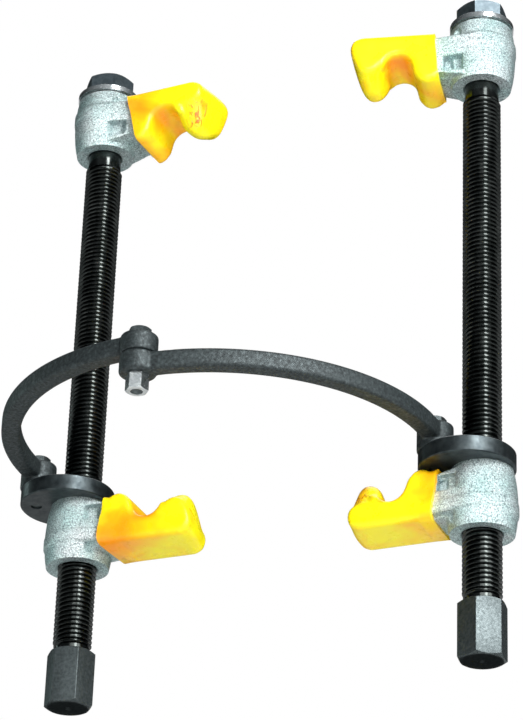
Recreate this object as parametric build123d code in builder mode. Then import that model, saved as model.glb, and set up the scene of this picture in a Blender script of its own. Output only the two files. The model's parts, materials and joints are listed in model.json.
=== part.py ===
from build123d import *
import os
from math import cos, radians, sin, tan

# Coil spring compressor: two screw spindles joined by a hinged pair of curved arms.
# Each spindle carries an upper claw that hangs under a thrust bearing and a lower claw
# that is the nut. The lower claws are held by eccentric discs on the ends of the arms.
# Millimetres, +Z up, standing on the two drive hexes.

# Overall layout
SPINDLE_GAP = 220.0          # between the two spindle axes
LEFT_X = -103.6              # left spindle axis, from the centre of the base
SPINDLE_Y = 57.34            # both spindle axes
RIGHT_LEVEL = 66.0           # underside of the right lower claw
ARM_LEVEL_STEP = 10.3        # left arm rides on the right arm

# Spindle
ROD_R = 10.0                 # M20 thread over the crests
PITCH = 2.5
THREAD_DEPTH = 1.53
ROOT_LOW = 0.05              # root and crest of one thread, as shares of the pitch
ROOT_HIGH = 0.30
CREST_LOW = 0.61
CREST_HIGH = 0.74
THREAD_START = 32.0
THREAD_END = 316.0
THREAD_RELIEF = 1.2          # turned down neck between the hex and the thread
JOURNAL_R = 9.0              # smooth neck that turns in the upper claw
STUB_R = 6.0                 # threaded stub that carries the head nut
HEX_AF = 22.0
HEX_HEIGHT = 30.0
DRILL_R = 2.6                # centre-drill mark in the end face
DRILL_DEPTH = 3.0
HEX_FACE = 0.95              # chamfer starts at this share of the flats
TAN_30 = 0.577               # chamfers are turned at 30 degrees

# Head and thrust bearing on top of each upper claw
HUB_TOP = 359.0
WASHER_LOW = 360.3
WASHER_TOP = 363.6
WASHER_R = 17.0
HEAD_TOP = 374.0
HEAD_AF = 24.0
STUB_BELOW = 0.8             # stub ends this far below the top of the head nut
WASHER_EDGE = 0.6
POCKET_R = 13.8              # bearing pocket in the upper hub
POCKET_DEPTH = 3.0
RACE_THICKNESS = 1.2
ROLLER_R = 1.4
ROLLER_LENGTH = 3.0
ROLLER_COUNT = 14
ROLLER_RING_R = 11.4
CAGE_THICKNESS = 1.8
CAGE_PLAY = 0.2              # rollers' play in the cage windows

# Claw casting and its moulded cover, measured from the hub's outer end (height)
# and from the spindle axis (reach)
HUB_HEIGHT = 34.5
HUB_END_R = 16.2
HUB_RIDGE_R = 18.5
HUB_RIDGE_HEIGHT = 11.0
HUB_INNER_R = 15.8
HUB_EDGE = 2.5
CLAW_HALF_WIDTH = 15.5
COVER_START = 20.0
COVER_WALL = 2.0
COVER_EDGE = 2.2
TIP_REACH = 69.0
BACK_HEIGHT = 6.3
OUTER_HUMP = 33.5
INNER_HUMP = 34.0
SADDLE_REACH = 43.5
SADDLE_R = 8.0
SADDLE_BOTTOM = 19.0
OUTER_WALL_LEAN = 20.0       # degrees from upright
INNER_WALL_LEAN = 12.0
OUTER_CREST = 8.0            # length of the outer hump's crest before rounding
TIP_SHOULDER = 15.5
CREST_R = 4.0                # rounding of the humps and of the tip
SHOULDER_HEIGHT = 23.0       # lower part of the outer hump
SHOULDER_SIDE = 9.0          # and the distance off the middle where it starts
SHOULDER_REACH = 51.5

# Eccentric discs
DISC_R = 24.5
DISC_THICKNESS = 8.5
DISC_OFFSET = 7.5            # spindle axis to disc centre
BOLT_OFFSET = 23.5           # spindle axis to pivot bolt
DISC_AZIMUTH = 205.0
COLLAR_R = 12.2              # turned collar of the lower claw inside the disc
COLLAR_ABOVE = 2.4
COLLAR_ROOT = 3.0            # collar starts this deep inside the hub
DISC_EDGE = 0.5
GROOVE_ABOVE = 0.2           # groove for the circlip, above the disc
GROOVE_DEPTH = 0.8
CIRCLIP_THICKNESS = 1.2
CIRCLIP_PLAY = 0.05
CIRCLIP_PROUD = 1.5
CIRCLIP_GAP = 6.0

# Arms
ARM_R = 110.2                # centre line, one quarter circle each
ARM_WIDTH = 9.8
ARM_HEIGHT = 10.0
ARM_SWEEP = 93.45            # degrees from the hinge to the pivot bolt
ARM_EDGE = 1.8               # rounding of the bar's edges
BOSS_R = 9.25
BOSS_EDGE = 1.0
BOSS_PROUD = 0.25            # bosses stand this far above and below the bar
DISC_GAP = 0.3
BOSS_DROP = 4.5              # boss reaches down from the bar to the disc
BOLT_R = 3.0
BOLT_AF = 10.0
BOLT_HEAD = 4.2
NUT_HEIGHT = 9.0
BOLT_END = 0.8               # pivot bolts end this far above the disc's underside

# Running clearances
RUNNING = 0.08
SNUG = 0.02
SEAT = 0.05
LOOSE = 0.3

RIGHT_X = LEFT_X + SPINDLE_GAP
SIDES = {
    "left": {"x": LEFT_X, "level": RIGHT_LEVEL + ARM_LEVEL_STEP, "upper_az": -3.7,
             "lower_az": 0.0, "hex_turn": 12.0, "head_turn": 8.0},
    "right": {"x": RIGHT_X, "level": RIGHT_LEVEL, "upper_az": 192.8,
              "lower_az": 179.3, "hex_turn": 34.0, "head_turn": 33.0},
}

os.makedirs("parts", exist_ok=True)


def save(builder, name):
    """Label a finished piece and write it."""
    builder.part.label = name
    export_step(builder.part, f"parts/{name}.step")


def axis_plane(x, z):
    """Horizontal plane on a spindle axis."""
    return Plane(origin=(x, SPINDLE_Y, z))


def claw_plane(x, azimuth, end_z, up):
    """Upright plane through a spindle axis: x is reach, y runs away from the hub's end."""
    reach = Vector(cos(radians(azimuth)), sin(radians(azimuth)), 0)
    away = Vector(0, 0, up)
    return Plane(origin=(x, SPINDLE_Y, end_z), x_dir=reach, z_dir=reach.cross(away))


def polar(x, y, radius, azimuth):
    """A point at a distance and direction from a centre."""
    return (x + radius * cos(radians(azimuth)), y + radius * sin(radians(azimuth)))


def hex_blank(plane, across_flats, height, turn, chamfer_both):
    """Hexagonal prism whose upper end, or both ends, are turned to a 30 degree chamfer."""
    corner = across_flats / 3 ** 0.5
    face_r = HEX_FACE * across_flats / 2
    drop = (corner - face_r) * TAN_30
    lower = [(face_r, 0), (corner, drop)] if chamfer_both else [(corner, 0)]
    with BuildPart() as blank:
        with BuildSketch(plane):
            RegularPolygon(corner, 6, rotation=turn)
        extrude(amount=height)
        with BuildSketch(Plane(plane.origin, x_dir=(1, 0, 0), z_dir=(0, -1, 0))):
            with BuildLine():
                Polyline((0, 0), *lower, (corner, height - drop), (face_r, height),
                         (0, height), close=True)
            make_face()
        revolve(axis=Axis(plane.origin, (0, 0, 1)), mode=Mode.INTERSECT)
    return blank.part


def thread_outline():
    """Half section of the spindle above its hex, with one V-shaped flank pair per pitch."""
    root = ROD_R - THREAD_DEPTH
    neck_r = ROD_R - THREAD_RELIEF
    points = [(0, HEX_HEIGHT - 1), (neck_r, HEX_HEIGHT - 1), (neck_r, THREAD_START)]
    turns = int((THREAD_END - THREAD_START) / PITCH)
    for turn in range(turns):
        low = THREAD_START + turn * PITCH
        points += [(root, low + ROOT_LOW * PITCH), (root, low + ROOT_HIGH * PITCH),
                   (ROD_R, low + CREST_LOW * PITCH), (ROD_R, low + CREST_HIGH * PITCH)]
    points += [(JOURNAL_R, THREAD_END), (JOURNAL_R, WASHER_TOP), (STUB_R, WASHER_TOP),
               (STUB_R, HEAD_TOP - STUB_BELOW), (0, HEAD_TOP - STUB_BELOW)]
    return points


def claw_outline(start, shrink):
    """Side face of a claw from reach `start`, shrunk by `shrink` on every edge."""
    outer_lean = tan(radians(OUTER_WALL_LEAN))
    inner_lean = tan(radians(INNER_WALL_LEAN))
    foot = SADDLE_R + SEAT
    outer_foot = foot * tan(radians(45 - OUTER_WALL_LEAN / 2))
    inner_foot = foot * tan(radians(45 - INNER_WALL_LEAN / 2))
    outer_crest = SADDLE_REACH + outer_foot + (OUTER_HUMP - SADDLE_BOTTOM) * outer_lean
    inner_crest = SADDLE_REACH - inner_foot - (INNER_HUMP - SADDLE_BOTTOM) * inner_lean
    first = start - shrink
    with BuildSketch(Plane.XY) as outline:
        with BuildLine():
            Polyline((first, BACK_HEIGHT), (TIP_REACH, BACK_HEIGHT), (TIP_REACH, TIP_SHOULDER),
                     (outer_crest + OUTER_CREST, OUTER_HUMP), (outer_crest, OUTER_HUMP),
                     (SADDLE_REACH + outer_foot, SADDLE_BOTTOM),
                     (SADDLE_REACH - inner_foot, SADDLE_BOTTOM),
                     (inner_crest, INNER_HUMP), (first, INNER_HUMP), close=True)
        make_face()
        seat = outline.vertices().filter_by(lambda v: abs(v.Y - SADDLE_BOTTOM) < 0.1)
        fillet(seat, SADDLE_R)
        crests = outline.vertices().filter_by(
            lambda v: v.X > inner_crest - 1 and v.Y > OUTER_HUMP - 1)
        fillet(crests, CREST_R)
        tip = outline.vertices().filter_by(lambda v: v.X > TIP_REACH - 0.1)
        fillet(tip, CREST_R)
        if shrink:
            offset(amount=-shrink, kind=Kind.INTERSECTION)
    return outline.sketch


def hub_outline(bore_r):
    """Half section of the hub, from its outer end."""
    with BuildSketch(Plane.XY) as section:
        with BuildLine():
            Polyline((bore_r, 0), (HUB_END_R, 0), (HUB_RIDGE_R, HUB_RIDGE_HEIGHT),
                     (HUB_INNER_R, HUB_HEIGHT), (bore_r, HUB_HEIGHT), close=True)
        make_face()
        rim = section.vertices().filter_by(lambda v: v.X > bore_r + 1)
        fillet(rim, HUB_EDGE)
    return section.sketch


def shoulder_body(plane, shrink):
    """Block that lowers one side of the outer hump."""
    reach = (SHOULDER_REACH + TIP_REACH + COVER_EDGE) / 2
    side = SHOULDER_SIDE - shrink
    with BuildPart() as block:
        with BuildSketch(plane.offset(-side)):
            with Locations((reach, (SHOULDER_HEIGHT - shrink + INNER_HUMP) / 2)):
                Rectangle(TIP_REACH + COVER_EDGE - SHOULDER_REACH,
                          INNER_HUMP - SHOULDER_HEIGHT + shrink)
        extrude(amount=-CLAW_HALF_WIDTH)
    return block.part


def claw_body(plane, axis_x, bore_r):
    """Casting shared by all four claws: hub, arm and saddle."""
    axis = Axis((axis_x, SPINDLE_Y, 0), (0, 0, 1))
    inner = CLAW_HALF_WIDTH - COVER_WALL
    arm_face = claw_outline(0.0, COVER_WALL)
    hub_face = hub_outline(bore_r / 2)
    shoulder = shoulder_body(plane, COVER_WALL)
    with BuildPart() as body:
        with BuildSketch(plane):
            add(arm_face)
        extrude(amount=inner, both=True)
        add(shoulder, mode=Mode.SUBTRACT)
        with BuildSketch(plane):
            add(hub_face)
        revolve(axis=axis)
        with BuildSketch(axis_plane(axis_x, 0)):
            Circle(bore_r)
        extrude(amount=HEAD_TOP, mode=Mode.SUBTRACT)
    return body.part


def cover_body(plane, casting):
    """Dip-moulded sleeve that hugs the end of a claw."""
    cover_face = claw_outline(COVER_START, 0.0)
    shoulder = shoulder_body(plane, 0.0)
    with BuildPart() as sleeve:
        with BuildSketch(plane):
            add(cover_face)
        extrude(amount=CLAW_HALF_WIDTH, both=True)
        sides = sleeve.faces().filter_by(Axis(plane.origin, plane.z_dir))
        rim = [edge for face in sides for edge in face.edges()
               if abs(plane.to_local_coords(edge.center()).X - COVER_START) > 0.5]
        fillet(rim, COVER_EDGE)
        add(shoulder, mode=Mode.SUBTRACT)
        add(casting, mode=Mode.SUBTRACT)
    return sleeve.part


def boss_body(point, foot, height):
    """Round boss with softened rims."""
    with BuildPart() as boss:
        with BuildSketch(Plane.XY.offset(foot)):
            with Locations(point):
                Circle(BOSS_R)
        extrude(amount=height)
        fillet(boss.edges().filter_by(GeomType.CIRCLE), BOSS_EDGE)
    return boss.part


def arm_body(centre, turn, bolt, low):
    """Quarter-circle bar with a boss on each end; `turn` is +1 or -1 about +Z."""
    hinge = (centre[0], centre[1] - ARM_R)
    middle = low + ARM_HEIGHT / 2
    hinge_boss = boss_body(hinge, low, ARM_HEIGHT)
    disc_boss = boss_body(bolt, low - BOSS_DROP, ARM_HEIGHT + BOSS_DROP)
    with BuildPart() as arm:
        with BuildSketch(Plane(origin=(*hinge, middle), x_dir=(0, -1, 0), z_dir=(1, 0, 0))):
            RectangleRounded(ARM_WIDTH, ARM_HEIGHT - 2 * BOSS_PROUD, ARM_EDGE)
        revolve(axis=Axis((*centre, 0), (0, 0, turn)), revolution_arc=ARM_SWEEP)
        add(hinge_boss)
        add(disc_boss)
        with BuildSketch(Plane.XY.offset(low - BOSS_DROP)):
            with Locations(hinge, bolt):
                Circle(BOLT_R + RUNNING)
        extrude(amount=ARM_HEIGHT + BOSS_DROP, mode=Mode.SUBTRACT)
    return arm.part


# Arm geometry: the hinge sits where two equal quarter arcs meet
bolts = {side: polar(data["x"], SPINDLE_Y, BOLT_OFFSET, DISC_AZIMUTH)
         for side, data in SIDES.items()}
mid_x = (bolts["left"][0] + bolts["right"][0]) / 2
half_gap = SPINDLE_GAP / 2
arm_centre = (mid_x, bolts["left"][1] - (ARM_R ** 2 - half_gap ** 2) ** 0.5)
hinge_point = (mid_x, arm_centre[1] - ARM_R)

for side, data in SIDES.items():
    x = data["x"]
    level = data["level"]

    # Spindle: drive hex, thread, journal and stub in one turned piece
    base = axis_plane(x, 0)
    drive_hex = hex_blank(base, HEX_AF, HEX_HEIGHT, data["hex_turn"], True)
    with BuildPart() as spindle:
        with BuildSketch(Plane(origin=(x, SPINDLE_Y, 0), x_dir=(1, 0, 0), z_dir=(0, -1, 0))):
            with BuildLine():
                Polyline(*thread_outline(), close=True)
            make_face()
        revolve(axis=Axis((x, SPINDLE_Y, 0), (0, 0, 1)))
        add(drive_hex)
        with Locations((x, SPINDLE_Y, 0)):
            Cone(DRILL_R, 0.2, DRILL_DEPTH, align=(Align.CENTER, Align.CENTER, Align.MIN),
                 mode=Mode.SUBTRACT)
    save(spindle, f"{side}_spindle")

    # Head nut and hard washer that the spindle pulls down on the bearing
    head_blank = hex_blank(axis_plane(x, WASHER_TOP), HEAD_AF, HEAD_TOP - WASHER_TOP,
                           data["head_turn"], False)
    with BuildPart() as head_nut:
        add(head_blank)
        with BuildSketch(axis_plane(x, WASHER_TOP)):
            Circle(STUB_R + SEAT)
        extrude(amount=HEAD_TOP - WASHER_TOP, mode=Mode.SUBTRACT)
    save(head_nut, f"{side}_head_nut")

    with BuildPart() as thrust_washer:
        with BuildSketch(axis_plane(x, WASHER_LOW)):
            Circle(WASHER_R)
            Circle(JOURNAL_R + SEAT, mode=Mode.SUBTRACT)
        extrude(amount=WASHER_TOP - WASHER_LOW)
        upper_rims = thrust_washer.edges().group_by(Axis.Z)[-1]
        chamfer(upper_rims.sort_by(SortBy.RADIUS)[-1], WASHER_EDGE)
    save(thrust_washer, f"{side}_thrust_washer")

    # Needle thrust bearing: lower race, caged rollers
    pocket_floor = HUB_TOP - POCKET_DEPTH
    with BuildPart() as lower_race:
        with BuildSketch(axis_plane(x, pocket_floor)):
            Circle(POCKET_R - RUNNING)
            Circle(JOURNAL_R + LOOSE, mode=Mode.SUBTRACT)
        extrude(amount=RACE_THICKNESS)
    save(lower_race, f"{side}_bearing_race")

    race_top = pocket_floor + RACE_THICKNESS
    mid_height = (race_top + WASHER_LOW) / 2
    with BuildPart() as cage:
        with BuildSketch(axis_plane(x, mid_height - CAGE_THICKNESS / 2)):
            Circle(POCKET_R - LOOSE)
            Circle(JOURNAL_R + LOOSE, mode=Mode.SUBTRACT)
            with Locations((0, 0)):
                with PolarLocations(ROLLER_RING_R, ROLLER_COUNT):
                    Rectangle(ROLLER_LENGTH + CAGE_PLAY, 2 * ROLLER_R + CAGE_PLAY,
                              mode=Mode.SUBTRACT)
        extrude(amount=CAGE_THICKNESS)
    save(cage, f"{side}_bearing_cage")

    with BuildPart() as rollers:
        with Locations((x, SPINDLE_Y, mid_height)):
            with PolarLocations(ROLLER_RING_R, ROLLER_COUNT):
                Cylinder(ROLLER_R, ROLLER_LENGTH, rotation=(0, 90, 0))
    save(rollers, f"{side}_bearing_rollers")

    # Upper claw: hooks down, turns freely on the journal
    upper_plane = claw_plane(x, data["upper_az"], HUB_TOP, -1)
    casting = claw_body(upper_plane, x, JOURNAL_R + RUNNING)
    with BuildPart() as upper_claw:
        add(casting)
        with BuildSketch(axis_plane(x, pocket_floor)):
            Circle(POCKET_R)
        extrude(amount=POCKET_DEPTH, mode=Mode.SUBTRACT)
    save(upper_claw, f"{side}_upper_claw")
    sleeve = cover_body(upper_plane, casting)
    with BuildPart() as upper_cover:
        add(sleeve)
    save(upper_cover, f"{side}_upper_cover")

    # Lower claw: hooks up, is the nut, and carries the disc on a turned collar
    lower_plane = claw_plane(x, data["lower_az"], level, 1)
    casting = claw_body(lower_plane, x, ROD_R + RUNNING)
    disc_low = level + HUB_HEIGHT
    collar_top = disc_low + DISC_THICKNESS + COLLAR_ABOVE
    with BuildPart() as lower_claw:
        add(casting)
        with BuildSketch(axis_plane(x, disc_low - COLLAR_ROOT)):
            Circle(COLLAR_R)
            Circle(ROD_R + RUNNING, mode=Mode.SUBTRACT)
        extrude(amount=collar_top - disc_low + COLLAR_ROOT)
        with BuildSketch(axis_plane(x, disc_low + DISC_THICKNESS + GROOVE_ABOVE)):
            Circle(COLLAR_R + 1)
            Circle(COLLAR_R - GROOVE_DEPTH, mode=Mode.SUBTRACT)
        extrude(amount=CIRCLIP_THICKNESS, mode=Mode.SUBTRACT)
    save(lower_claw, f"{side}_lower_claw")
    sleeve = cover_body(lower_plane, casting)
    with BuildPart() as lower_cover:
        add(sleeve)
    save(lower_cover, f"{side}_lower_cover")

    # Circlip that keeps the disc on the collar
    with BuildPart() as circlip:
        with BuildSketch(axis_plane(x, disc_low + DISC_THICKNESS + GROOVE_ABOVE + CIRCLIP_PLAY)):
            Circle(COLLAR_R + CIRCLIP_PROUD)
            Circle(COLLAR_R - GROOVE_DEPTH + CIRCLIP_PLAY, mode=Mode.SUBTRACT)
            with Locations(polar(0, 0, COLLAR_R, DISC_AZIMUTH + 180)):
                Rectangle(CIRCLIP_GAP, CIRCLIP_GAP / 2, rotation=DISC_AZIMUTH,
                          mode=Mode.SUBTRACT)
        extrude(amount=CIRCLIP_THICKNESS - 2 * CIRCLIP_PLAY)
    save(circlip, f"{side}_circlip")

    # Eccentric disc with its pivot bolt
    disc_centre = polar(x, SPINDLE_Y, DISC_OFFSET, DISC_AZIMUTH)
    with BuildPart() as disc:
        with BuildSketch(Plane.XY.offset(disc_low)):
            with Locations(disc_centre):
                Circle(DISC_R)
            with Locations((x, SPINDLE_Y)):
                Circle(COLLAR_R + RUNNING, mode=Mode.SUBTRACT)
            with Locations(bolts[side]):
                Circle(BOLT_R + SNUG, mode=Mode.SUBTRACT)
        extrude(amount=DISC_THICKNESS)
        rims = disc.edges().filter_by(GeomType.CIRCLE).sort_by(SortBy.RADIUS)[-2:]
        chamfer(rims, DISC_EDGE)
    save(disc, f"{side}_disc")

    boss_low = disc_low + DISC_THICKNESS + DISC_GAP
    bar_top = boss_low + BOSS_DROP + ARM_HEIGHT
    bolt_head = hex_blank(Plane(origin=(*bolts[side], bar_top)), BOLT_AF, BOLT_HEAD, 20, False)
    with BuildPart() as pivot_bolt:
        with BuildSketch(Plane.XY.offset(disc_low + BOLT_END)):
            with Locations(bolts[side]):
                Circle(BOLT_R)
        extrude(amount=bar_top - disc_low)
        add(bolt_head)
    save(pivot_bolt, f"{side}_pivot_bolt")

# Arms
right_low = SIDES["right"]["level"] + HUB_HEIGHT + DISC_THICKNESS + DISC_GAP + BOSS_DROP
left_low = right_low + ARM_LEVEL_STEP
right_bar = arm_body(arm_centre, 1, bolts["right"], right_low)
with BuildPart() as right_arm:
    add(right_bar)
save(right_arm, "right_arm")

left_bar = arm_body(arm_centre, -1, bolts["left"], left_low)
with BuildPart() as left_arm:
    add(left_bar)
save(left_arm, "left_arm")

# Hinge bolt and lock nut
hinge_top = left_low + ARM_HEIGHT
hinge_head = hex_blank(Plane(origin=(*hinge_point, hinge_top)), BOLT_AF, BOLT_HEAD, 10, False)
with BuildPart() as hinge_bolt:
    with BuildSketch(Plane.XY.offset(right_low - NUT_HEIGHT + 1)):
        with Locations(hinge_point):
            Circle(BOLT_R)
    extrude(amount=hinge_top - right_low + NUT_HEIGHT - 1)
    add(hinge_head)
save(hinge_bolt, "hinge_bolt")

nut_blank = hex_blank(Plane(origin=(*hinge_point, right_low - NUT_HEIGHT)), BOLT_AF,
                      NUT_HEIGHT, 15, True)
with BuildPart() as hinge_nut:
    add(nut_blank)
    with BuildSketch(Plane.XY.offset(right_low - NUT_HEIGHT)):
        with Locations(hinge_point):
            Circle(BOLT_R + SNUG)
    extrude(amount=NUT_HEIGHT, mode=Mode.SUBTRACT)
save(hinge_nut, "hinge_nut")
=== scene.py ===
# Looks of the coil spring compressor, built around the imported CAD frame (metres, +Z up).
import json
from math import cos, pi, radians, sin, sqrt

import bmesh
import bpy
from mathutils import Matrix, Vector


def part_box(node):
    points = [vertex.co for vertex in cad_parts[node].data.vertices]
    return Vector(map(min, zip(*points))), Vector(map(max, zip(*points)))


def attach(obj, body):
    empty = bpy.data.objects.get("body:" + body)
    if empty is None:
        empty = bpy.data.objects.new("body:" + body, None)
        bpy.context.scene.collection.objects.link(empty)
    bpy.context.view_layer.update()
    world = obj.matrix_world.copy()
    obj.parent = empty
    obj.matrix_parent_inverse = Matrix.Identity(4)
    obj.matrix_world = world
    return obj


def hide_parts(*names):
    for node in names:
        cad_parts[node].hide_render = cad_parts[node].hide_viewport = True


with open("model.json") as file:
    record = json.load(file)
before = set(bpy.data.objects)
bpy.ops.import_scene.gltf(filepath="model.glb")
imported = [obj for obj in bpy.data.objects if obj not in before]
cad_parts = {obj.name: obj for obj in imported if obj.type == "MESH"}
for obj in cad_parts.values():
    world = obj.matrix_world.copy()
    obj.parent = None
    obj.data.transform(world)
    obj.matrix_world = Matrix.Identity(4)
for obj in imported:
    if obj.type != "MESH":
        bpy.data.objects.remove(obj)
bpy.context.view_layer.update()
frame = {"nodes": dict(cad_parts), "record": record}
MM = 0.001

# Sizes that the looks share with the frame, in millimetres
SIDES = ("left", "right")
PITCH = 2.5
ROD_R = 10.0
THREAD_DEPTH = 1.53
JOURNAL_R = 9.0
STUB_R = 6.0
HEX_AF = 22.0
HEX_HEIGHT = 30.0
THREAD_START = 32.0
THREAD_END = 316.0
HUB_HEIGHT = 34.5
CLAW_HALF_WIDTH = 15.5
COVER_WALL = 2.0
NUT_BORE_R = 10.08
NECK_BORE_R = 9.08
SADDLE_R = 8.0
SADDLE_CENTRE = 43.5         # reach of the middle of the saddle
TIP_REACH = 69.0             # reach of the claw's tip
UNDERCUT_R = 8.8             # plain neck between the drive hex and the thread
COLLAR_R = 12.2              # collar that carries the disc
CLIP_GROOVE_R = 11.4
THRUST_POCKET_R = 13.8
THRUST_POCKET_DEPTH = 3.0
BORE_CHAMFER = 3.0

# Fineness of the melted skins, in millimetres
CASTING_VOXEL = 0.42
SLEEVE_VOXEL = 0.55
ARM_VOXEL = 0.5
SWELL = 2.5                  # a sleeve grows past its wall and is then cut flat


def mount(name):
    """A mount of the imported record."""
    return next(m for m in frame["record"]["mounts"] if m["name"] == name)


def spindle_axis(side):
    """Place of a spindle's axis in the plan, in millimetres."""
    low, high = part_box(f"{side}_thrust_washer")
    return ((low[0] + high[0]) / 2 / MM, (low[1] + high[1]) / 2 / MM)


def claw_matrix(side, which):
    """Claw's own frame: x reach, y across, z from the hub's outer end; in metres from mm."""
    x, y = spindle_axis(side)
    across = Vector(mount(f"{side}_{which}_saddle")["axis"])
    flip = 1.0 if which == "lower" else -1.0
    reach = Vector((across.y, -across.x, 0.0))
    low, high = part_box(f"{side}_{which}_claw")
    base = low[2] if which == "lower" else high[2]
    columns = (reach, across * flip, Vector((0, 0, flip)))
    turn = Matrix([[c[row] for c in columns] for row in range(3)]).to_4x4()
    return Matrix.Translation((x * MM, y * MM, base)) @ turn @ Matrix.Scale(MM, 4)


# ---------------------------------------------------------------- mesh helpers

def new_object(name, bm):
    """A scene object from a bmesh, with outward normals."""
    bmesh.ops.recalc_face_normals(bm, faces=bm.faces)
    mesh = bpy.data.meshes.new(name)
    bm.to_mesh(mesh)
    bm.free()
    obj = bpy.data.objects.new(name, mesh)
    bpy.context.scene.collection.objects.link(obj)
    return obj


def bake_modifiers(obj):
    """Replace the mesh by its evaluated copy and drop the modifiers."""
    graph = bpy.context.evaluated_depsgraph_get()
    mesh = bpy.data.meshes.new_from_object(obj.evaluated_get(graph))
    obj.modifiers.clear()
    old = obj.data
    obj.data = mesh
    bpy.data.meshes.remove(old)


def remove(obj):
    """Delete a helper object."""
    bpy.data.objects.remove(obj, do_unlink=True)


def boolean(obj, other, operation):
    """Exact boolean that uses up the other object."""
    step = obj.modifiers.new("cut", "BOOLEAN")
    step.operation = operation
    step.solver = "EXACT"
    step.object = other
    bake_modifiers(obj)
    remove(other)


def join(name, objects):
    """One object from several, which are used up."""
    bm = bmesh.new()
    for obj in objects:
        bm.from_mesh(obj.data)
        remove(obj)
    return new_object(name, bm)


def fuse(obj, voxel, rounds, factor=0.5):
    """Melt overlapping shells into one skin and soften its corners."""
    step = obj.modifiers.new("fuse", "REMESH")
    step.mode = "VOXEL"
    step.voxel_size = voxel
    step.adaptivity = 0.0
    soft = obj.modifiers.new("soft", "SMOOTH")
    soft.factor = factor
    soft.iterations = rounds
    bake_modifiers(obj)


def smooth_step(x, low, high):
    """0 below low, 1 above high, with a soft ramp between."""
    t = min(max((x - low) / (high - low), 0.0), 1.0)
    return t * t * (3 - 2 * t)


def lathe(name, outline, steps=96):
    """Closed turned solid from (radius, height) points that start and end on the axis."""
    bm = bmesh.new()
    rings = []
    for radius, height in outline:
        if radius < 1e-6:
            rings.append([bm.verts.new((0, 0, height))])
        else:
            rings.append([bm.verts.new((radius * cos(2 * pi * i / steps),
                                        radius * sin(2 * pi * i / steps), height))
                          for i in range(steps)])
    for low, high in zip(rings, rings[1:]):
        for i in range(steps):
            j = (i + 1) % steps
            corners = [low[i % len(low)], low[j % len(low)], high[j % len(high)],
                       high[i % len(high)]]
            unique = list(dict.fromkeys(corners))
            if len(unique) > 2:
                bm.faces.new(unique)
    return new_object(name, bm)


def loft(name, slices):
    """Closed solid through matching rings of points."""
    bm = bmesh.new()
    rings = [[bm.verts.new(point) for point in ring] for ring in slices]
    count = len(rings[0])
    for low, high in zip(rings, rings[1:]):
        for i in range(count):
            j = (i + 1) % count
            bm.faces.new((low[i], low[j], high[j], high[i]))
    bm.faces.new(rings[0])
    bm.faces.new(rings[-1])
    return new_object(name, bm)


def prism(name, outline, low, high):
    """Upright solid from plan points."""
    return loft(name, [[(x, y, z) for x, y in outline] for z in (low, high)])


def place(obj, matrix):
    """Put a piece made in its own frame into the row frame."""
    obj.data.transform(matrix)
    return obj


def shade(obj, angle=35):
    """Smooth shading with sharp edges above an angle."""
    for polygon in obj.data.polygons:
        polygon.use_smooth = True
    obj.data.set_sharp_from_angle(angle=radians(angle))


def finish_piece(obj, body, node, slot, *materials):
    """Materials, body and replaced node of a piece; the slot argument is not used."""
    obj.data.materials.clear()
    for material in materials:
        obj.data.materials.append(material)
    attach(obj, body)
    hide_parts(node)


# ---------------------------------------------------------------- materials

class Nodes:
    """Short names for building one node material."""

    def __init__(self, name, **values):
        self.material = bpy.data.materials.new(name)
        self.material.use_nodes = True
        self.tree = self.material.node_tree
        self.shader = self.tree.nodes["Principled BSDF"]
        for key, value in values.items():
            self.shader.inputs[key.replace("_", " ")].default_value = value

    def add(self, kind, **values):
        """A node with some of its inputs or settings given by name."""
        node = self.tree.nodes.new(kind)
        for key, value in values.items():
            if key in node.inputs:
                node.inputs[key].default_value = value
            else:
                setattr(node, key, value)
        return node

    def link(self, source, target):
        self.tree.links.new(source, target)

    def coords(self, stretch=(1, 1, 1)):
        """Object coordinates in metres, stretched."""
        where = self.add("ShaderNodeTexCoord")
        mapping = self.add("ShaderNodeMapping")
        mapping.inputs["Scale"].default_value = stretch
        self.link(where.outputs["Object"], mapping.inputs["Vector"])
        return mapping.outputs["Vector"]

    def noise(self, scale, detail=3.0, stretch=(1, 1, 1), roughness=0.5, distortion=0.0):
        """Noise in the object's own space."""
        node = self.add("ShaderNodeTexNoise", Scale=scale, Detail=detail, Roughness=roughness,
                        Distortion=distortion)
        self.link(self.coords(stretch), node.inputs["Vector"])
        return node.outputs["Fac"]

    def ramp(self, source, stops):
        """Colours at stops along a value."""
        node = self.add("ShaderNodeValToRGB")
        node.color_ramp.elements[0].position = stops[0][0]
        node.color_ramp.elements[0].color = (*stops[0][1], 1)
        node.color_ramp.elements[1].position = stops[-1][0]
        node.color_ramp.elements[1].color = (*stops[-1][1], 1)
        for position, colour in stops[1:-1]:
            node.color_ramp.elements.new(position).color = (*colour, 1)
        self.link(source, node.inputs["Fac"])
        return node.outputs["Color"]

    def spread(self, source, low, high, source_low=0.3, source_high=0.7):
        """A value's range mapped onto another."""
        node = self.add("ShaderNodeMapRange")
        node.inputs["From Min"].default_value = source_low
        node.inputs["From Max"].default_value = source_high
        node.inputs["To Min"].default_value = low
        node.inputs["To Max"].default_value = high
        self.link(source, node.inputs["Value"])
        return node.outputs["Result"]

    def bumps(self, *layers):
        """Stack of (height output, distance in metres, strength)."""
        normal = None
        for height, distance, strength in layers:
            node = self.add("ShaderNodeBump", Strength=strength, Distance=distance)
            self.link(height, node.inputs["Height"])
            if normal is not None:
                self.link(normal, node.inputs["Normal"])
            normal = node.outputs["Normal"]
        self.link(normal, self.shader.inputs["Normal"])


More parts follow.
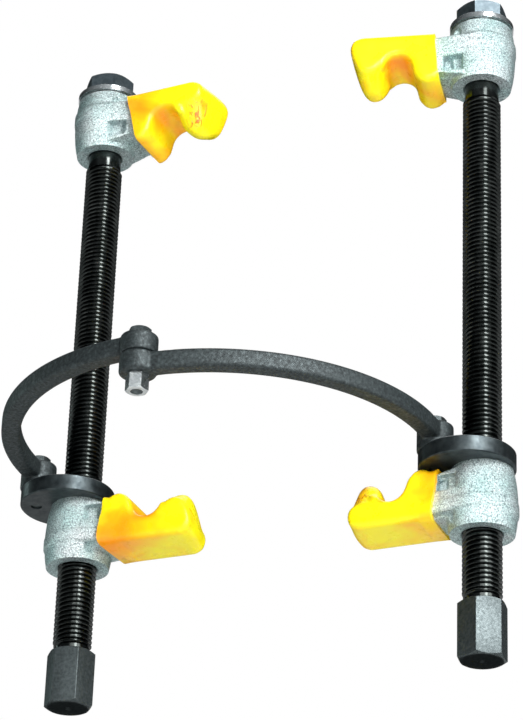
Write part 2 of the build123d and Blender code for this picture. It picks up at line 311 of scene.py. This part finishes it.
def black_oxide():
    """Oiled black oxide on the screw: glossy, with faint bare wear on the crests."""
    n = Nodes("black_oxide_screw", Metallic=1.0)
    wear = n.noise(240, 4, (1, 1, 0.4))
    n.link(n.ramp(wear, [(0.35, (0.02, 0.023, 0.022)), (0.6, (0.045, 0.05, 0.048)),
                         (0.8, (0.09, 0.098, 0.094))]), n.shader.inputs["Base Color"])
    n.link(n.spread(n.noise(420, 3), 0.12, 0.22), n.shader.inputs["Roughness"])
    n.bumps((n.noise(90, 2, (1, 1, 10)), 0.00004, 0.3))
    return n.material


def phosphate():
    """Dark satin phosphate on the drive hex."""
    n = Nodes("phosphate_hex", Metallic=0.85)
    n.link(n.ramp(n.noise(700, 5), [(0.3, (0.05, 0.062, 0.064)), (0.7, (0.095, 0.113, 0.116))]),
           n.shader.inputs["Base Color"])
    n.link(n.spread(n.noise(900, 3), 0.36, 0.5), n.shader.inputs["Roughness"])
    n.bumps((n.noise(3200, 3), 0.00003, 0.5))
    return n.material


def forged_black():
    """Scaly black forging: pebbled skin with a dark green-grey cast."""
    n = Nodes("black_forging", Metallic=0.55)
    grain = n.noise(620, 6, roughness=0.65)
    n.link(n.ramp(grain, [(0.32, (0.012, 0.016, 0.017)), (0.55, (0.034, 0.044, 0.046)),
                          (0.75, (0.075, 0.092, 0.095))]), n.shader.inputs["Base Color"])
    n.link(n.spread(grain, 0.62, 0.42), n.shader.inputs["Roughness"])
    n.bumps((n.noise(160, 3), 0.0003, 0.35), (grain, 0.0003, 0.8), (n.noise(1900, 3), 0.00008, 0.6))
    return n.material


def turned_black():
    """Turned and blackened disc with fine tool marks round its centre."""
    n = Nodes("turned_black_disc", Metallic=0.9)
    n.link(n.ramp(n.noise(240, 4), [(0.3, (0.024, 0.031, 0.034)), (0.7, (0.062, 0.076, 0.08))]),
           n.shader.inputs["Base Color"])
    n.link(n.spread(n.noise(520, 3), 0.28, 0.42), n.shader.inputs["Roughness"])
    n.bumps((n.noise(60, 2, (1, 1, 30)), 0.00005, 0.5), (n.noise(2400, 2), 0.00003, 0.4))
    return n.material


def zinc_casting():
    """Zinc-plated sand casting: bright and granular, with a faint green-blue cast."""
    n = Nodes("zinc_casting", Metallic=0.9)
    grain = n.noise(1450, 5, roughness=0.8)
    cloud = n.noise(60, 3)
    mix = n.add("ShaderNodeMix", data_type="RGBA", blend_type="MULTIPLY")
    mix.inputs["Factor"].default_value = 1.0
    n.link(n.ramp(grain, [(0.39, (0.09, 0.12, 0.135)), (0.49, (0.5, 0.58, 0.59)),
                          (0.57, (0.93, 0.97, 0.97))]), mix.inputs["A"])
    n.link(n.ramp(cloud, [(0.3, (0.72, 0.9, 0.88)), (0.7, (1.0, 1.0, 1.0))]), mix.inputs["B"])
    n.link(mix.outputs["Result"], n.shader.inputs["Base Color"])
    n.link(n.spread(grain, 0.5, 0.28), n.shader.inputs["Roughness"])
    n.bumps((n.noise(230, 3), 0.0003, 0.35), (grain, 0.0006, 1.0))
    return n.material


def zinc_plate(name, base, rough_low, rough_high):
    """Bright zinc plate on machined steel."""
    n = Nodes(name, Metallic=1.0)
    n.link(n.ramp(n.noise(420, 4), [(0.3, tuple(c * 0.8 for c in base)), (0.7, base)]),
           n.shader.inputs["Base Color"])
    n.link(n.spread(n.noise(700, 3), rough_low, rough_high), n.shader.inputs["Roughness"])
    n.bumps((n.noise(1800, 3), 0.00003, 0.4))
    return n.material


def dull_zinc():
    """Dull blue-grey zinc on the head nut, with a painted highlight in light grey on the faces
    turned down towards the claw.
    """
    n = Nodes("dull_zinc_head", Metallic=0.9)
    base = n.ramp(n.noise(420, 4), [(0.3, (0.07, 0.092, 0.105)), (0.7, (0.12, 0.152, 0.17))])
    where = n.add("ShaderNodeTexCoord")
    parts = n.add("ShaderNodeSeparateXYZ")
    n.link(where.outputs["Normal"], parts.inputs["Vector"])
    # painted highlight: faces that point downwards are mixed towards light grey
    painted_highlight = n.spread(parts.outputs["Z"], 1, 0, -0.6, -0.15)
    mix = n.add("ShaderNodeMix", data_type="RGBA")
    n.link(painted_highlight, mix.inputs["Factor"])
    n.link(base, mix.inputs["A"])
    mix.inputs["B"].default_value = (0.75, 0.8, 0.82, 1)
    n.link(mix.outputs["Result"], n.shader.inputs["Base Color"])
    n.link(n.spread(n.noise(700, 3), 0.34, 0.48), n.shader.inputs["Roughness"])
    n.bumps((n.noise(1500, 3), 0.00004, 0.5))
    return n.material


def yellow_plastic():
    """Dip-moulded vinyl: glossy lemon yellow with random orange clouds, fine wrinkles, and painted
    shade: orange in the hollows and on the hub side, brown in the shoulder's wrinkles.
    """
    n = Nodes("yellow_vinyl", Subsurface_Weight=0.1, Subsurface_Scale=0.003,
              Subsurface_Radius=(1.0, 0.5, 0.03), Specular_IOR_Level=0.35, Coat_Weight=0.2,
              Coat_Roughness=0.1)
    # painted shade: the cover's colour attribute carries the orange of its shaded hollows, crease
    # and hub side, and where its wrinkles lie
    shade_tint = n.add("ShaderNodeAttribute", attribute_name="shade_tint")
    parts = n.add("ShaderNodeSeparateColor")
    n.link(shade_tint.outputs["Color"], parts.inputs["Color"])
    cloud = n.spread(n.noise(38, 3, distortion=0.6), -0.35, 0.55)
    total = n.add("ShaderNodeMath", operation="ADD", use_clamp=True)
    n.link(cloud, total.inputs[0])
    n.link(parts.outputs["Red"], total.inputs[1])
    base = n.ramp(total.outputs[0], [(0.0, (0.88, 0.77, 0.003)), (0.35, (0.9, 0.62, 0.003)),
                                     (0.7, (0.92, 0.43, 0.003)), (1.0, (0.88, 0.29, 0.004))])
    lines = n.spread(n.noise(420, 3, (1, 1, 0.35), distortion=1.2), 0, 1, 0.52, 0.64)
    wrinkle_and_shade = n.add("ShaderNodeMath", operation="MULTIPLY")
    n.link(lines, wrinkle_and_shade.inputs[0])
    n.link(parts.outputs["Green"], wrinkle_and_shade.inputs[1])
    mix = n.add("ShaderNodeMix", data_type="RGBA")
    n.link(wrinkle_and_shade.outputs[0], mix.inputs["Factor"])
    n.link(base, mix.inputs["A"])
    # painted shade: brown in the wrinkles of the shoulder's crease
    mix.inputs["B"].default_value = (0.42, 0.12, 0.003, 1)
    n.link(mix.outputs["Result"], n.shader.inputs["Base Color"])
    n.link(n.spread(n.noise(160, 3), 0.36, 0.24), n.shader.inputs["Roughness"])
    n.bumps((n.noise(60, 2), 0.0007, 0.3), (wrinkle_and_shade.outputs[0], 0.0004, 0.6),
            (n.noise(700, 3), 0.00004, 0.3))
    return n.material


SCREW = black_oxide()
HEX = phosphate()
FORGED = forged_black()
TURNED = turned_black()
CASTING = zinc_casting()
ZINC = dull_zinc()
BRIGHT = zinc_plate("bright_zinc_nut", (0.82, 0.86, 0.87), 0.16, 0.28)
STEEL = zinc_plate("bearing_steel", (0.5, 0.5, 0.5), 0.15, 0.25)
YELLOW = yellow_plastic()


# ---------------------------------------------------------------- spindle

def thread_rod(name):
    """Closed rod with a true right-hand helix and run-outs at both ends."""
    steps = 56
    crest, root = ROD_R, ROD_R - THREAD_DEPTH
    profile = [(0.0, root), (0.2, root), (0.28, root + 0.2), (0.5, crest - 0.12),
               (0.55, crest), (0.68, crest), (0.73, crest - 0.12), (0.95, root + 0.2)]
    turns = int((THREAD_END - THREAD_START) / PITCH) + 3
    count = turns * len(profile)
    ramp = 3.0

    def vertex(i, s):
        turn, j = divmod(s, len(profile))
        offset, radius = profile[j]
        z = THREAD_START + PITCH * (turn - 2 + i / steps + offset)
        z = min(max(z, THREAD_START), THREAD_END)
        top_limit = JOURNAL_R + (THREAD_END - z)
        low_limit = UNDERCUT_R + (z - THREAD_START)
        fill_top = JOURNAL_R - (THREAD_END - z) * (JOURNAL_R - root) / ramp
        fill_low = UNDERCUT_R - (z - THREAD_START) * (UNDERCUT_R - root) / ramp
        radius = min(max(radius, fill_top, fill_low), top_limit, low_limit)
        angle = 2 * pi * i / steps
        return (radius * cos(angle), radius * sin(angle), z)

    bm = bmesh.new()
    grid = [[bm.verts.new(vertex(i, s)) for s in range(count)] for i in range(steps)]
    for i in range(steps):
        for s in range(count - 1):
            if i + 1 < steps:
                bm.faces.new((grid[i][s], grid[i + 1][s], grid[i + 1][s + 1], grid[i][s + 1]))
            elif s + 1 + len(profile) < count:
                t = s + len(profile)
                bm.faces.new((grid[i][s], grid[0][t], grid[0][t + 1], grid[i][s + 1]))
    bmesh.ops.remove_doubles(bm, verts=bm.verts, dist=1e-4)
    bmesh.ops.dissolve_degenerate(bm, edges=bm.edges, dist=1e-4)
    ends = [e for e in bm.edges if e.is_boundary]
    bmesh.ops.holes_fill(bm, edges=ends, sides=0)
    return new_object(name, bm)


def hex_prism(name, across_flats, low, high, turn, both_ends, softness=0.3):
    """Hexagon with turned 30 degree chamfers and slightly worn corners."""
    corner = across_flats / sqrt(3)
    face_r = 0.95 * across_flats / 2
    drop = (corner - face_r) * 0.577
    outline = [(corner * cos(radians(60 * k) + turn), corner * sin(radians(60 * k) + turn))
               for k in range(6)]
    body = prism(name, outline, low, high)
    foot = [(0, low), (face_r, low), (corner + 0.4, low + drop + 0.23)] if both_ends else \
        [(0, low - 1), (corner + 1, low - 1)]
    turned = lathe("turned", foot + [(corner + 0.4, high - drop - 0.23), (face_r, high), (0, high)])
    boolean(body, turned, "INTERSECT")
    edge = body.modifiers.new("worn", "BEVEL")
    edge.width = softness
    edge.segments = 2
    edge.limit_method = "ANGLE"
    edge.angle_limit = radians(28)
    bake_modifiers(body)
    return body


def hex_corner(side):
    """Plan vector from the axis to a corner of the drive hexagon, read from the CAD piece."""
    x, y = spindle_axis(side)
    mesh = frame["nodes"][f"{side}_spindle"].data
    corners = [v.co for v in mesh.vertices if v.co.z < HEX_HEIGHT * MM]
    far = max(corners, key=lambda c: (c.x - x * MM) ** 2 + (c.y - y * MM) ** 2)
    return Vector((far.x - x * MM, far.y - y * MM))


def make_spindle(side):
    """Screw with its drive hexagon, neck and head stub."""
    x, y = spindle_axis(side)
    turn = -Vector((1, 0)).angle_signed(hex_corner(side))
    rod = thread_rod(f"{side}_rod")
    hexagon = hex_prism(f"{side}_hex", HEX_AF, 0, HEX_HEIGHT, turn, True)
    dimple = lathe("dimple", [(0, -1), (3.2, -1), (2.1, 0.2), (0, 2.6)], 48)
    boolean(hexagon, dimple, "DIFFERENCE")
    root = lathe("root", [(0, HEX_HEIGHT - 2), (UNDERCUT_R, HEX_HEIGHT - 2),
                          (UNDERCUT_R, THREAD_START + 0.4), (0, THREAD_START + 0.4)], 56)
    washer_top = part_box(f"{side}_thrust_washer")[1][2] / MM
    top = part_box(f"{side}_spindle")[1][2] / MM
    neck = lathe("neck", [(0, THREAD_END - 0.5), (JOURNAL_R, THREAD_END - 0.5),
                          (JOURNAL_R, washer_top), (STUB_R, washer_top), (STUB_R, top - 0.6),
                          (STUB_R - 0.6, top), (0, top)], 56)
    hex_faces = len(hexagon.data.polygons)
    piece = join(f"{side}_screw", [hexagon, rod, root, neck])
    for index, polygon in enumerate(piece.data.polygons):
        polygon.material_index = 1 if index < hex_faces else 0
    place(piece, Matrix.Translation((x * MM, y * MM, 0)) @ Matrix.Scale(MM, 4))
    shade(piece, 24)
    indices = [p.material_index for p in piece.data.polygons]
    finish_piece(piece, f"{side}_spindle", f"{side}_spindle", "black_oxide_steel", SCREW, HEX)
    for polygon, index in zip(piece.data.polygons, indices):
        polygon.material_index = index
    return piece


# ---------------------------------------------------------------- claws

# Edge of each dipped cover: reach at the middle of the back, and its slope across and up
DIP = {
    ("left", "lower"): (19.4, 0.08, 0.06),
    ("right", "lower"): (21.6, 0.0, -0.12),
    ("left", "upper"): (20.6, 0.0, 0.22),
    ("right", "upper"): (23.0, -0.055, -0.075),
}
# Knob of the outer hump: centre across the claw, height, and taper of the tip beside it
KNOB = {
    ("left", "lower"): (0.0, 34.6, 3.0),
    ("right", "lower"): (1.0, 34.6, 3.0),
    ("left", "upper"): (0.5, 35.5, 3.0),
    ("right", "upper"): (1.5, 36.5, 3.0),
}
INNER_CREST = {"upper": 36.2, "lower": 34.0}
COVER_TOP = {"upper": 37.0, "lower": 34.2}     # the lower claw swings under its disc
HUB_SHADE = {"left": 0.55, "right": 0.12}    # painted shade: how orange the hub side of a cover is
BACK = 6.3                   # height of the claw's flat back


def side_profile(inset, start, hump, tip, inner_crest):
    """Side outline of a claw: heights of its two humps and the reach of its tip."""
    back = BACK + inset
    centre = SADDLE_CENTRE
    radius = SADDLE_R + inset
    crest_in = inner_crest - inset
    top = hump - inset
    rise = max(top - 17.0, 0.0)
    points = [(start, back), (tip - 3.5 - inset, back), (tip - 1.0 - inset, back + 1.2),
              (tip - inset, back + 4.0), (tip - 0.4 - inset, 15.5)]
    points += [(tip - 0.4 - inset - lean, 15.5 + rise * share) for lean, share in
               ((1.0, 0.3), (2.4, 0.62), (3.8, 0.87), (5.4, 0.985), (7.2, 1.0), (9.2, 0.95),
                (11.0, 0.8), (12.4, 0.55))]
    for k in range(9):
        angle = radians(-18 - k * 18)
        points.append((centre + radius * cos(angle), 27.0 + radius * sin(angle)))
    points += [(centre - 9.0 - inset, crest_in - 3.6), (centre - 11.4 - inset, crest_in - 0.8),
               (centre - 13.4 - inset, crest_in), (centre - 15.8 - inset, crest_in - 0.6),
               (centre - 18.2 - inset, crest_in - 2.4), (start, crest_in - 5.2)]
    return points


def claw_loft(name, inset, start, knob, inner_crest, slices=23):
    """Saddle end of the claw: a rounded knob beside a low shoulder on the outer hump."""
    middle, height, taper = knob
    half = CLAW_HALF_WIDTH - inset
    rings = []
    for k in range(slices):
        v = -half + 2 * half * k / (slices - 1)
        near = smooth_step(middle - v, 0.5, middle + CLAW_HALF_WIDTH + 0.5)
        fall = smooth_step(v - middle, 3.0, CLAW_HALF_WIDTH - 1.5)
        tip = TIP_REACH - taper * smooth_step(v, -8.0, CLAW_HALF_WIDTH)
        hump = height - 6.5 * near - (height - 20.5) * fall
        ring = side_profile(inset, start, hump, tip, inner_crest)
        rings.append([(u, v, h) for u, h in ring])
    return loft(name, rings)


def plan_outline(radius, reach, half):
    """Plan of a flange: round the hub, then straight out to a reach."""
    points = []
    for k in range(25):
        angle = radians(70 + k * 220 / 24)
        points.append((radius * cos(angle), radius * sin(angle)))
    return points + [(reach, -half), (reach, half)]


def side_recess(sign, low, high, first, last, floor):
    """Cutter for a pocket in one side of the web, open outwards."""
    outline = [(first, floor), (last, floor), (last + 1.0, 30), (first - 3.5, 30)]
    if sign < 0:
        outline = [(u, -v) for u, v in reversed(outline)]
    return prism("recess", outline, low, high)


def raw_casting(name, knob, inner_crest):
    """Hub, flanges and saddle end melted together, before machining."""
    hub = lathe("hub", [(0, -1.5), (16.1, -1.5), (16.4, 0.5), (17.2, 5.0), (17.5, 9.0),
                        (17.9, 10.6), (17.9, 15.0), (17.7, 20.0), (17.2, 26.0), (16.6, 30.0),
                        (15.9, 33.0), (15.4, 36.0), (0, 36.0)], 96)
    band = loft("band", [[(px, py, h) for px, py in plan_outline(r, 27.0, w)]
                         for r, w, h in ((17.3, 12.2, 8.6), (18.3, 13.2, 9.5), (18.3, 13.2, 15.1),
                                         (17.8, 12.6, 15.4), (17.4, 12.2, 20.8))])
    sole = loft("sole", [[(6, -w, h), (27, -w, h), (27, w, h), (6, w, h)]
                         for w, h in ((10.5, 7.2), (12.5, 11.0))])
    web = prism("web", [(4, -7.5), (24, -8.0), (24, 8.0), (4, 7.5)], 10, 31)
    foot = loft("foot", [[(u, -w, low), (u, w, low), (u, w, high), (u, -w, high)]
                         for u, w, low, high in ((5, 14.6, 30.2, 33.4), (25, 12.4, 26.4, 29.2))])
    post = prism("post", [(19.2, -13.0), (26, -13.2), (26, 13.2), (19.2, 13.0)], 10, 28.6)
    core = claw_loft("core", COVER_WALL + 0.4, 22.0, knob, inner_crest)
    body = join(name, [hub, band, sole, web, foot, post, core])
    fuse(body, CASTING_VOXEL, 1)
    for sign in (-1, 1):
        boolean(body, side_recess(sign, 21.0, 29.4, 9.5, 18.6, 10.2), "DIFFERENCE")
        boolean(body, side_recess(sign, 3.6, 8.4, 10.5, 22.0, 10.6), "DIFFERENCE")
    fuse(body, CASTING_VOXEL, 3)
    return body


def machine_claw(body, side, which):
    """Faces, collar, bore and bearing pocket of a raw casting."""
    lower = which == "lower"
    bore = NUT_BORE_R if lower else NECK_BORE_R
    keep = lathe("keep", [(0, 0), (120, 0), (120, HUB_HEIGHT), (0, HUB_HEIGHT)], 32)
    boolean(body, keep, "INTERSECT")
    if lower:
        low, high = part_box(f"{side}_lower_claw")
        top = (high[2] - low[2]) / MM
        clip_low = (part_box(f"{side}_circlip")[0][2] - low[2]) / MM - 0.05
        clip_high = (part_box(f"{side}_circlip")[1][2] - low[2]) / MM + 0.05
        collar = lathe("collar", [(0, 30), (COLLAR_R, 30), (COLLAR_R, clip_low),
                                  (CLIP_GROOVE_R, clip_low), (CLIP_GROOVE_R, clip_high),
                                  (COLLAR_R, clip_high), (COLLAR_R, top - 0.4),
                                  (COLLAR_R - 0.4, top), (0, top)], 96)
        boolean(body, collar, "UNION")
    far = HUB_HEIGHT + (20 if lower else 2.4)
    drill = lathe("drill", [(0, -2.4), (bore + BORE_CHAMFER, -2.4), (bore, 0.8),
                            (bore, HUB_HEIGHT - 0.8), (bore + (0 if lower else BORE_CHAMFER), far),
                            (0, far)], 96)
    boolean(body, drill, "DIFFERENCE")
    if not lower:
        pocket = lathe("pocket", [(0, -2), (THRUST_POCKET_R, -2),
                                  (THRUST_POCKET_R, THRUST_POCKET_DEPTH),
                                  (0, THRUST_POCKET_DEPTH)], 96)
        boolean(body, pocket, "DIFFERENCE")


def dip_block(side, which):
    """Everything that was under the surface of the vinyl bath."""
    start, across, rise = DIP[(side, which)]

    def edge(v, h):
        return start + across * v + rise * (h - BACK)

    low, high = -10.0, 50.0
    return loft("bath", [[(edge(-40, h), -40, h), (100, -40, h), (100, 40, h), (edge(40, h), 40, h)]
                         for h in (low, high)])


def tint_and_shade_cover(skin, middle, hub_shade):
    """Painted shade in orange: the saddle's hollow, the shoulder's crease and the hub side; a
    little more orange towards the tip, and a mask for the wrinkles in the shoulder's crease.
    """
    shade_tint = skin.data.color_attributes.new("shade_tint", "FLOAT_COLOR", "POINT")
    for vertex, value in zip(skin.data.vertices, shade_tint.data):
        u, v, h = vertex.co
        # painted shade: orange in the saddle's hollow, in the shoulder's crease and on the hub side
        valley_shade = smooth_step(9.5 - abs(u - SADDLE_CENTRE), 0, 7) * smooth_step(h, 14, 22)
        crease = (smooth_step(7 - abs(v - middle - 9), 0, 6) * smooth_step(u, 53, 60)
                  * smooth_step(h, 15, 20))
        hub_side_shade = smooth_step(48 - u, 0, 24)
        edge = smooth_step(u, 63, 68)
        orange = min(1.0, 0.75 * valley_shade + 0.8 * crease + hub_shade * hub_side_shade + 0.25 * edge)
        value.color = (orange, crease, 0, 1)


def make_claw(side, which):
    """One claw's casting and the yellow cover dipped over its saddle end."""
    body = raw_casting(f"{side}_{which}_casting", KNOB[(side, which)], INNER_CREST[which])
    skin = body.copy()
    skin.data = body.data.copy()
    skin.name = f"{side}_{which}_sleeve"
    bpy.context.scene.collection.objects.link(skin)
    machine_claw(body, side, which)

    swell = skin.modifiers.new("swell", "DISPLACE")
    swell.strength = SWELL
    swell.mid_level = 0.0
    bake_modifiers(skin)
    fuse(skin, SLEEVE_VOXEL, 14)
    boolean(skin, dip_block(side, which), "INTERSECT")
    side_face = CLAW_HALF_WIDTH + 0.4
    tip_face = TIP_REACH + 0.3
    one_side = [(-5, -24), (20, -18), (30, -side_face), (tip_face, -side_face)]
    outline = one_side + [(u, -v) for u, v in reversed(one_side)]
    flat = prism("flat", outline, BACK - 0.4, COVER_TOP[which])
    boolean(skin, flat, "INTERSECT")
    inner = body.copy()
    inner.data = body.data.copy()
    bpy.context.scene.collection.objects.link(inner)
    boolean(skin, inner, "DIFFERENCE")
    tint_and_shade_cover(skin, KNOB[(side, which)][0], HUB_SHADE[side])

    for piece, name, slot, material in (
            (body, f"{side}_{which}_claw", "zinc_plated_casting", CASTING),
            (skin, f"{side}_{which}_cover", "yellow_plastic", YELLOW)):
        place(piece, claw_matrix(side, which))
        shade(piece, 40)
        finish_piece(piece, f"{side}_{which}_claw", name, slot, material)


# ---------------------------------------------------------------- arms

def make_arm(side):
    """The CAD arm melted into one forged skin."""
    node = frame["nodes"][f"{side}_arm"]
    bm = bmesh.new()
    bm.from_mesh(node.data)
    body = new_object(f"{side}_forged_arm", bm)
    place(body, Matrix.Scale(1 / MM, 4))
    fuse(body, ARM_VOXEL, 6)
    place(body, Matrix.Scale(MM, 4))
    shade(body, 60)
    finish_piece(body, f"{side}_arm", f"{side}_arm", "black_forging", FORGED)
    return body


def paint(node, material):
    """A kept CAD node gets its finish."""
    obj = frame["nodes"][node]
    obj.data.materials.clear()
    obj.data.materials.append(material)


for side in SIDES:
    make_spindle(side)
    make_arm(side)
    for which in ("upper", "lower"):
        make_claw(side, which)
    paint(f"{side}_head_nut", ZINC)
    paint(f"{side}_thrust_washer", BRIGHT)
    paint(f"{side}_bearing_race", STEEL)
    paint(f"{side}_bearing_cage", STEEL)
    paint(f"{side}_bearing_rollers", STEEL)
    paint(f"{side}_disc", TURNED)
    paint(f"{side}_circlip", TURNED)
    paint(f"{side}_pivot_bolt", HEX)
paint("hinge_bolt", HEX)
paint("hinge_nut", BRIGHT)

# ---------------------------------------------------------------- camera, light and stage

CAMERA_PLACE = (0.52408, -1.19286, -0.51849)
CAMERA_YAW = -22.920
CAMERA_PITCH = 27.315
CAMERA_ROLL = 2.169
CAMERA_LENS = 146.11


def aim(obj, target):
    """Turn a light to face a point."""
    obj.rotation_euler = (Vector(target) - obj.location).to_track_quat("-Z", "Y").to_euler()


def make_camera():
    """Camera at the photograph's viewing angle."""
    data = bpy.data.cameras.new("camera")
    camera = bpy.data.objects.new("camera", data)
    bpy.context.scene.collection.objects.link(camera)
    yaw, pitch, roll = (radians(a) for a in (CAMERA_YAW, CAMERA_PITCH, CAMERA_ROLL))
    forward = Vector((sin(yaw) * cos(pitch), cos(yaw) * cos(pitch), sin(pitch)))
    level = forward.cross(Vector((0, 0, 1))).normalized()
    top = level.cross(forward)
    right = level * cos(roll) + top * sin(roll)
    up = top * cos(roll) - level * sin(roll)
    turn = Matrix((right, up, -forward)).transposed().to_4x4()
    camera.matrix_world = Matrix.Translation(CAMERA_PLACE) @ turn
    data.lens = CAMERA_LENS
    data.sensor_width = 36
    data.clip_start, data.clip_end = 0.05, 20
    bpy.context.scene.camera = camera


def area_light(name, place_at, size, power, colour=(1, 1, 1), target=(0, 0, 0.19)):
    """Soft box that lights the tool and isn't seen itself."""
    data = bpy.data.lights.new(name, "AREA")
    data.shape = "RECTANGLE"
    data.size, data.size_y = size
    data.energy = power
    data.color = colour
    light = bpy.data.objects.new(name, data)
    light.location = place_at
    light.visible_camera = False
    bpy.context.scene.collection.objects.link(light)
    aim(light, target)
    return light


def around(azimuth, elevation, distance, centre=(0, 0, 0.19)):
    """A point round the object; azimuth from +X, in degrees."""
    a, e = radians(azimuth), radians(elevation)
    return (centre[0] + distance * cos(a) * cos(e), centre[1] + distance * sin(a) * cos(e),
            centre[2] + distance * sin(e))


def make_world():
    """White to the camera; a soft gradient, brighter in front, to everything else."""
    world = bpy.data.worlds.new("world")
    bpy.context.scene.world = world
    world.use_nodes = True
    nodes, links = world.node_tree.nodes, world.node_tree.links
    nodes.clear()
    out = nodes.new("ShaderNodeOutputWorld")
    mix = nodes.new("ShaderNodeMixShader")
    path = nodes.new("ShaderNodeLightPath")
    seen = nodes.new("ShaderNodeBackground")
    seen.inputs["Color"].default_value = (1, 1, 1, 1)
    seen.inputs["Strength"].default_value = 1.0
    lit = nodes.new("ShaderNodeBackground")
    lit.inputs["Color"].default_value = (0.9, 0.97, 1.0, 1)
    where = nodes.new("ShaderNodeTexCoord")
    facing = nodes.new("ShaderNodeVectorMath")
    facing.operation = "DOT_PRODUCT"
    facing.inputs[1].default_value = Vector(around(-55, 8, 1, (0, 0, 0)))
    links.new(where.outputs["Generated"], facing.inputs[0])
    ramp = nodes.new("ShaderNodeValToRGB")
    spread = nodes.new("ShaderNodeMapRange")
    spread.inputs["From Min"].default_value = -1.0
    links.new(facing.outputs["Value"], spread.inputs["Value"])
    links.new(spread.outputs["Result"], ramp.inputs["Fac"])
    for element, (position, value) in zip(ramp.color_ramp.elements, ((0.0, 0.02), (1.0, 0.4))):
        element.position = position
        element.color = (value, value, value, 1)
    for position, value in ((0.35, 0.05), (0.6, 0.13), (0.8, 0.26)):
        ramp.color_ramp.elements.new(position).color = (value, value, value, 1)
    links.new(ramp.outputs["Color"], lit.inputs["Strength"])
    links.new(path.outputs["Is Camera Ray"], mix.inputs[0])
    links.new(lit.outputs[0], mix.inputs[1])
    links.new(seen.outputs[0], mix.inputs[2])
    links.new(mix.outputs[0], out.inputs["Surface"])


def make_floor():
    """Pale floor under the tool; from below it lets the view and the light through."""
    bm = bmesh.new()
    bmesh.ops.create_grid(bm, x_segments=8, y_segments=8, size=3.0)
    floor = new_object("floor", bm)
    floor.location.z = -0.0002
    material = bpy.data.materials.new("pale_floor")
    material.use_nodes = True
    nodes, links = material.node_tree.nodes, material.node_tree.links
    nodes["Principled BSDF"].inputs["Base Color"].default_value = (0.85, 0.85, 0.85, 1)
    nodes["Principled BSDF"].inputs["Roughness"].default_value = 0.6
    geometry = nodes.new("ShaderNodeNewGeometry")
    clear = nodes.new("ShaderNodeBsdfTransparent")
    mix = nodes.new("ShaderNodeMixShader")
    links.new(geometry.outputs["Backfacing"], mix.inputs[0])
    links.new(nodes["Principled BSDF"].outputs[0], mix.inputs[1])
    links.new(clear.outputs[0], mix.inputs[2])
    links.new(mix.outputs[0], nodes["Material Output"].inputs["Surface"])
    floor.data.materials.append(material)
    floor.visible_shadow = False


make_camera()
make_world()
make_floor()
area_light("key", around(-42, 24, 1.5), (0.4, 1.0), 22)
area_light("wall", around(-45, 10, 1.5), (2.2, 0.7), 24)
area_light("side_key", around(-20, 0, 1.5), (0.3, 1.0), 3)
area_light("under_fill", around(-70, -60, 1.3), (1.0, 1.0), 7)
area_light("left_rim", around(172, 5, 1.4), (0.2, 1.0), 2.0, (0.8, 1.0, 0.97))
area_light("top_fill", around(100, 65, 1.6), (1.0, 1.0), 6)
bpy.context.scene.view_settings.view_transform = "Standard"
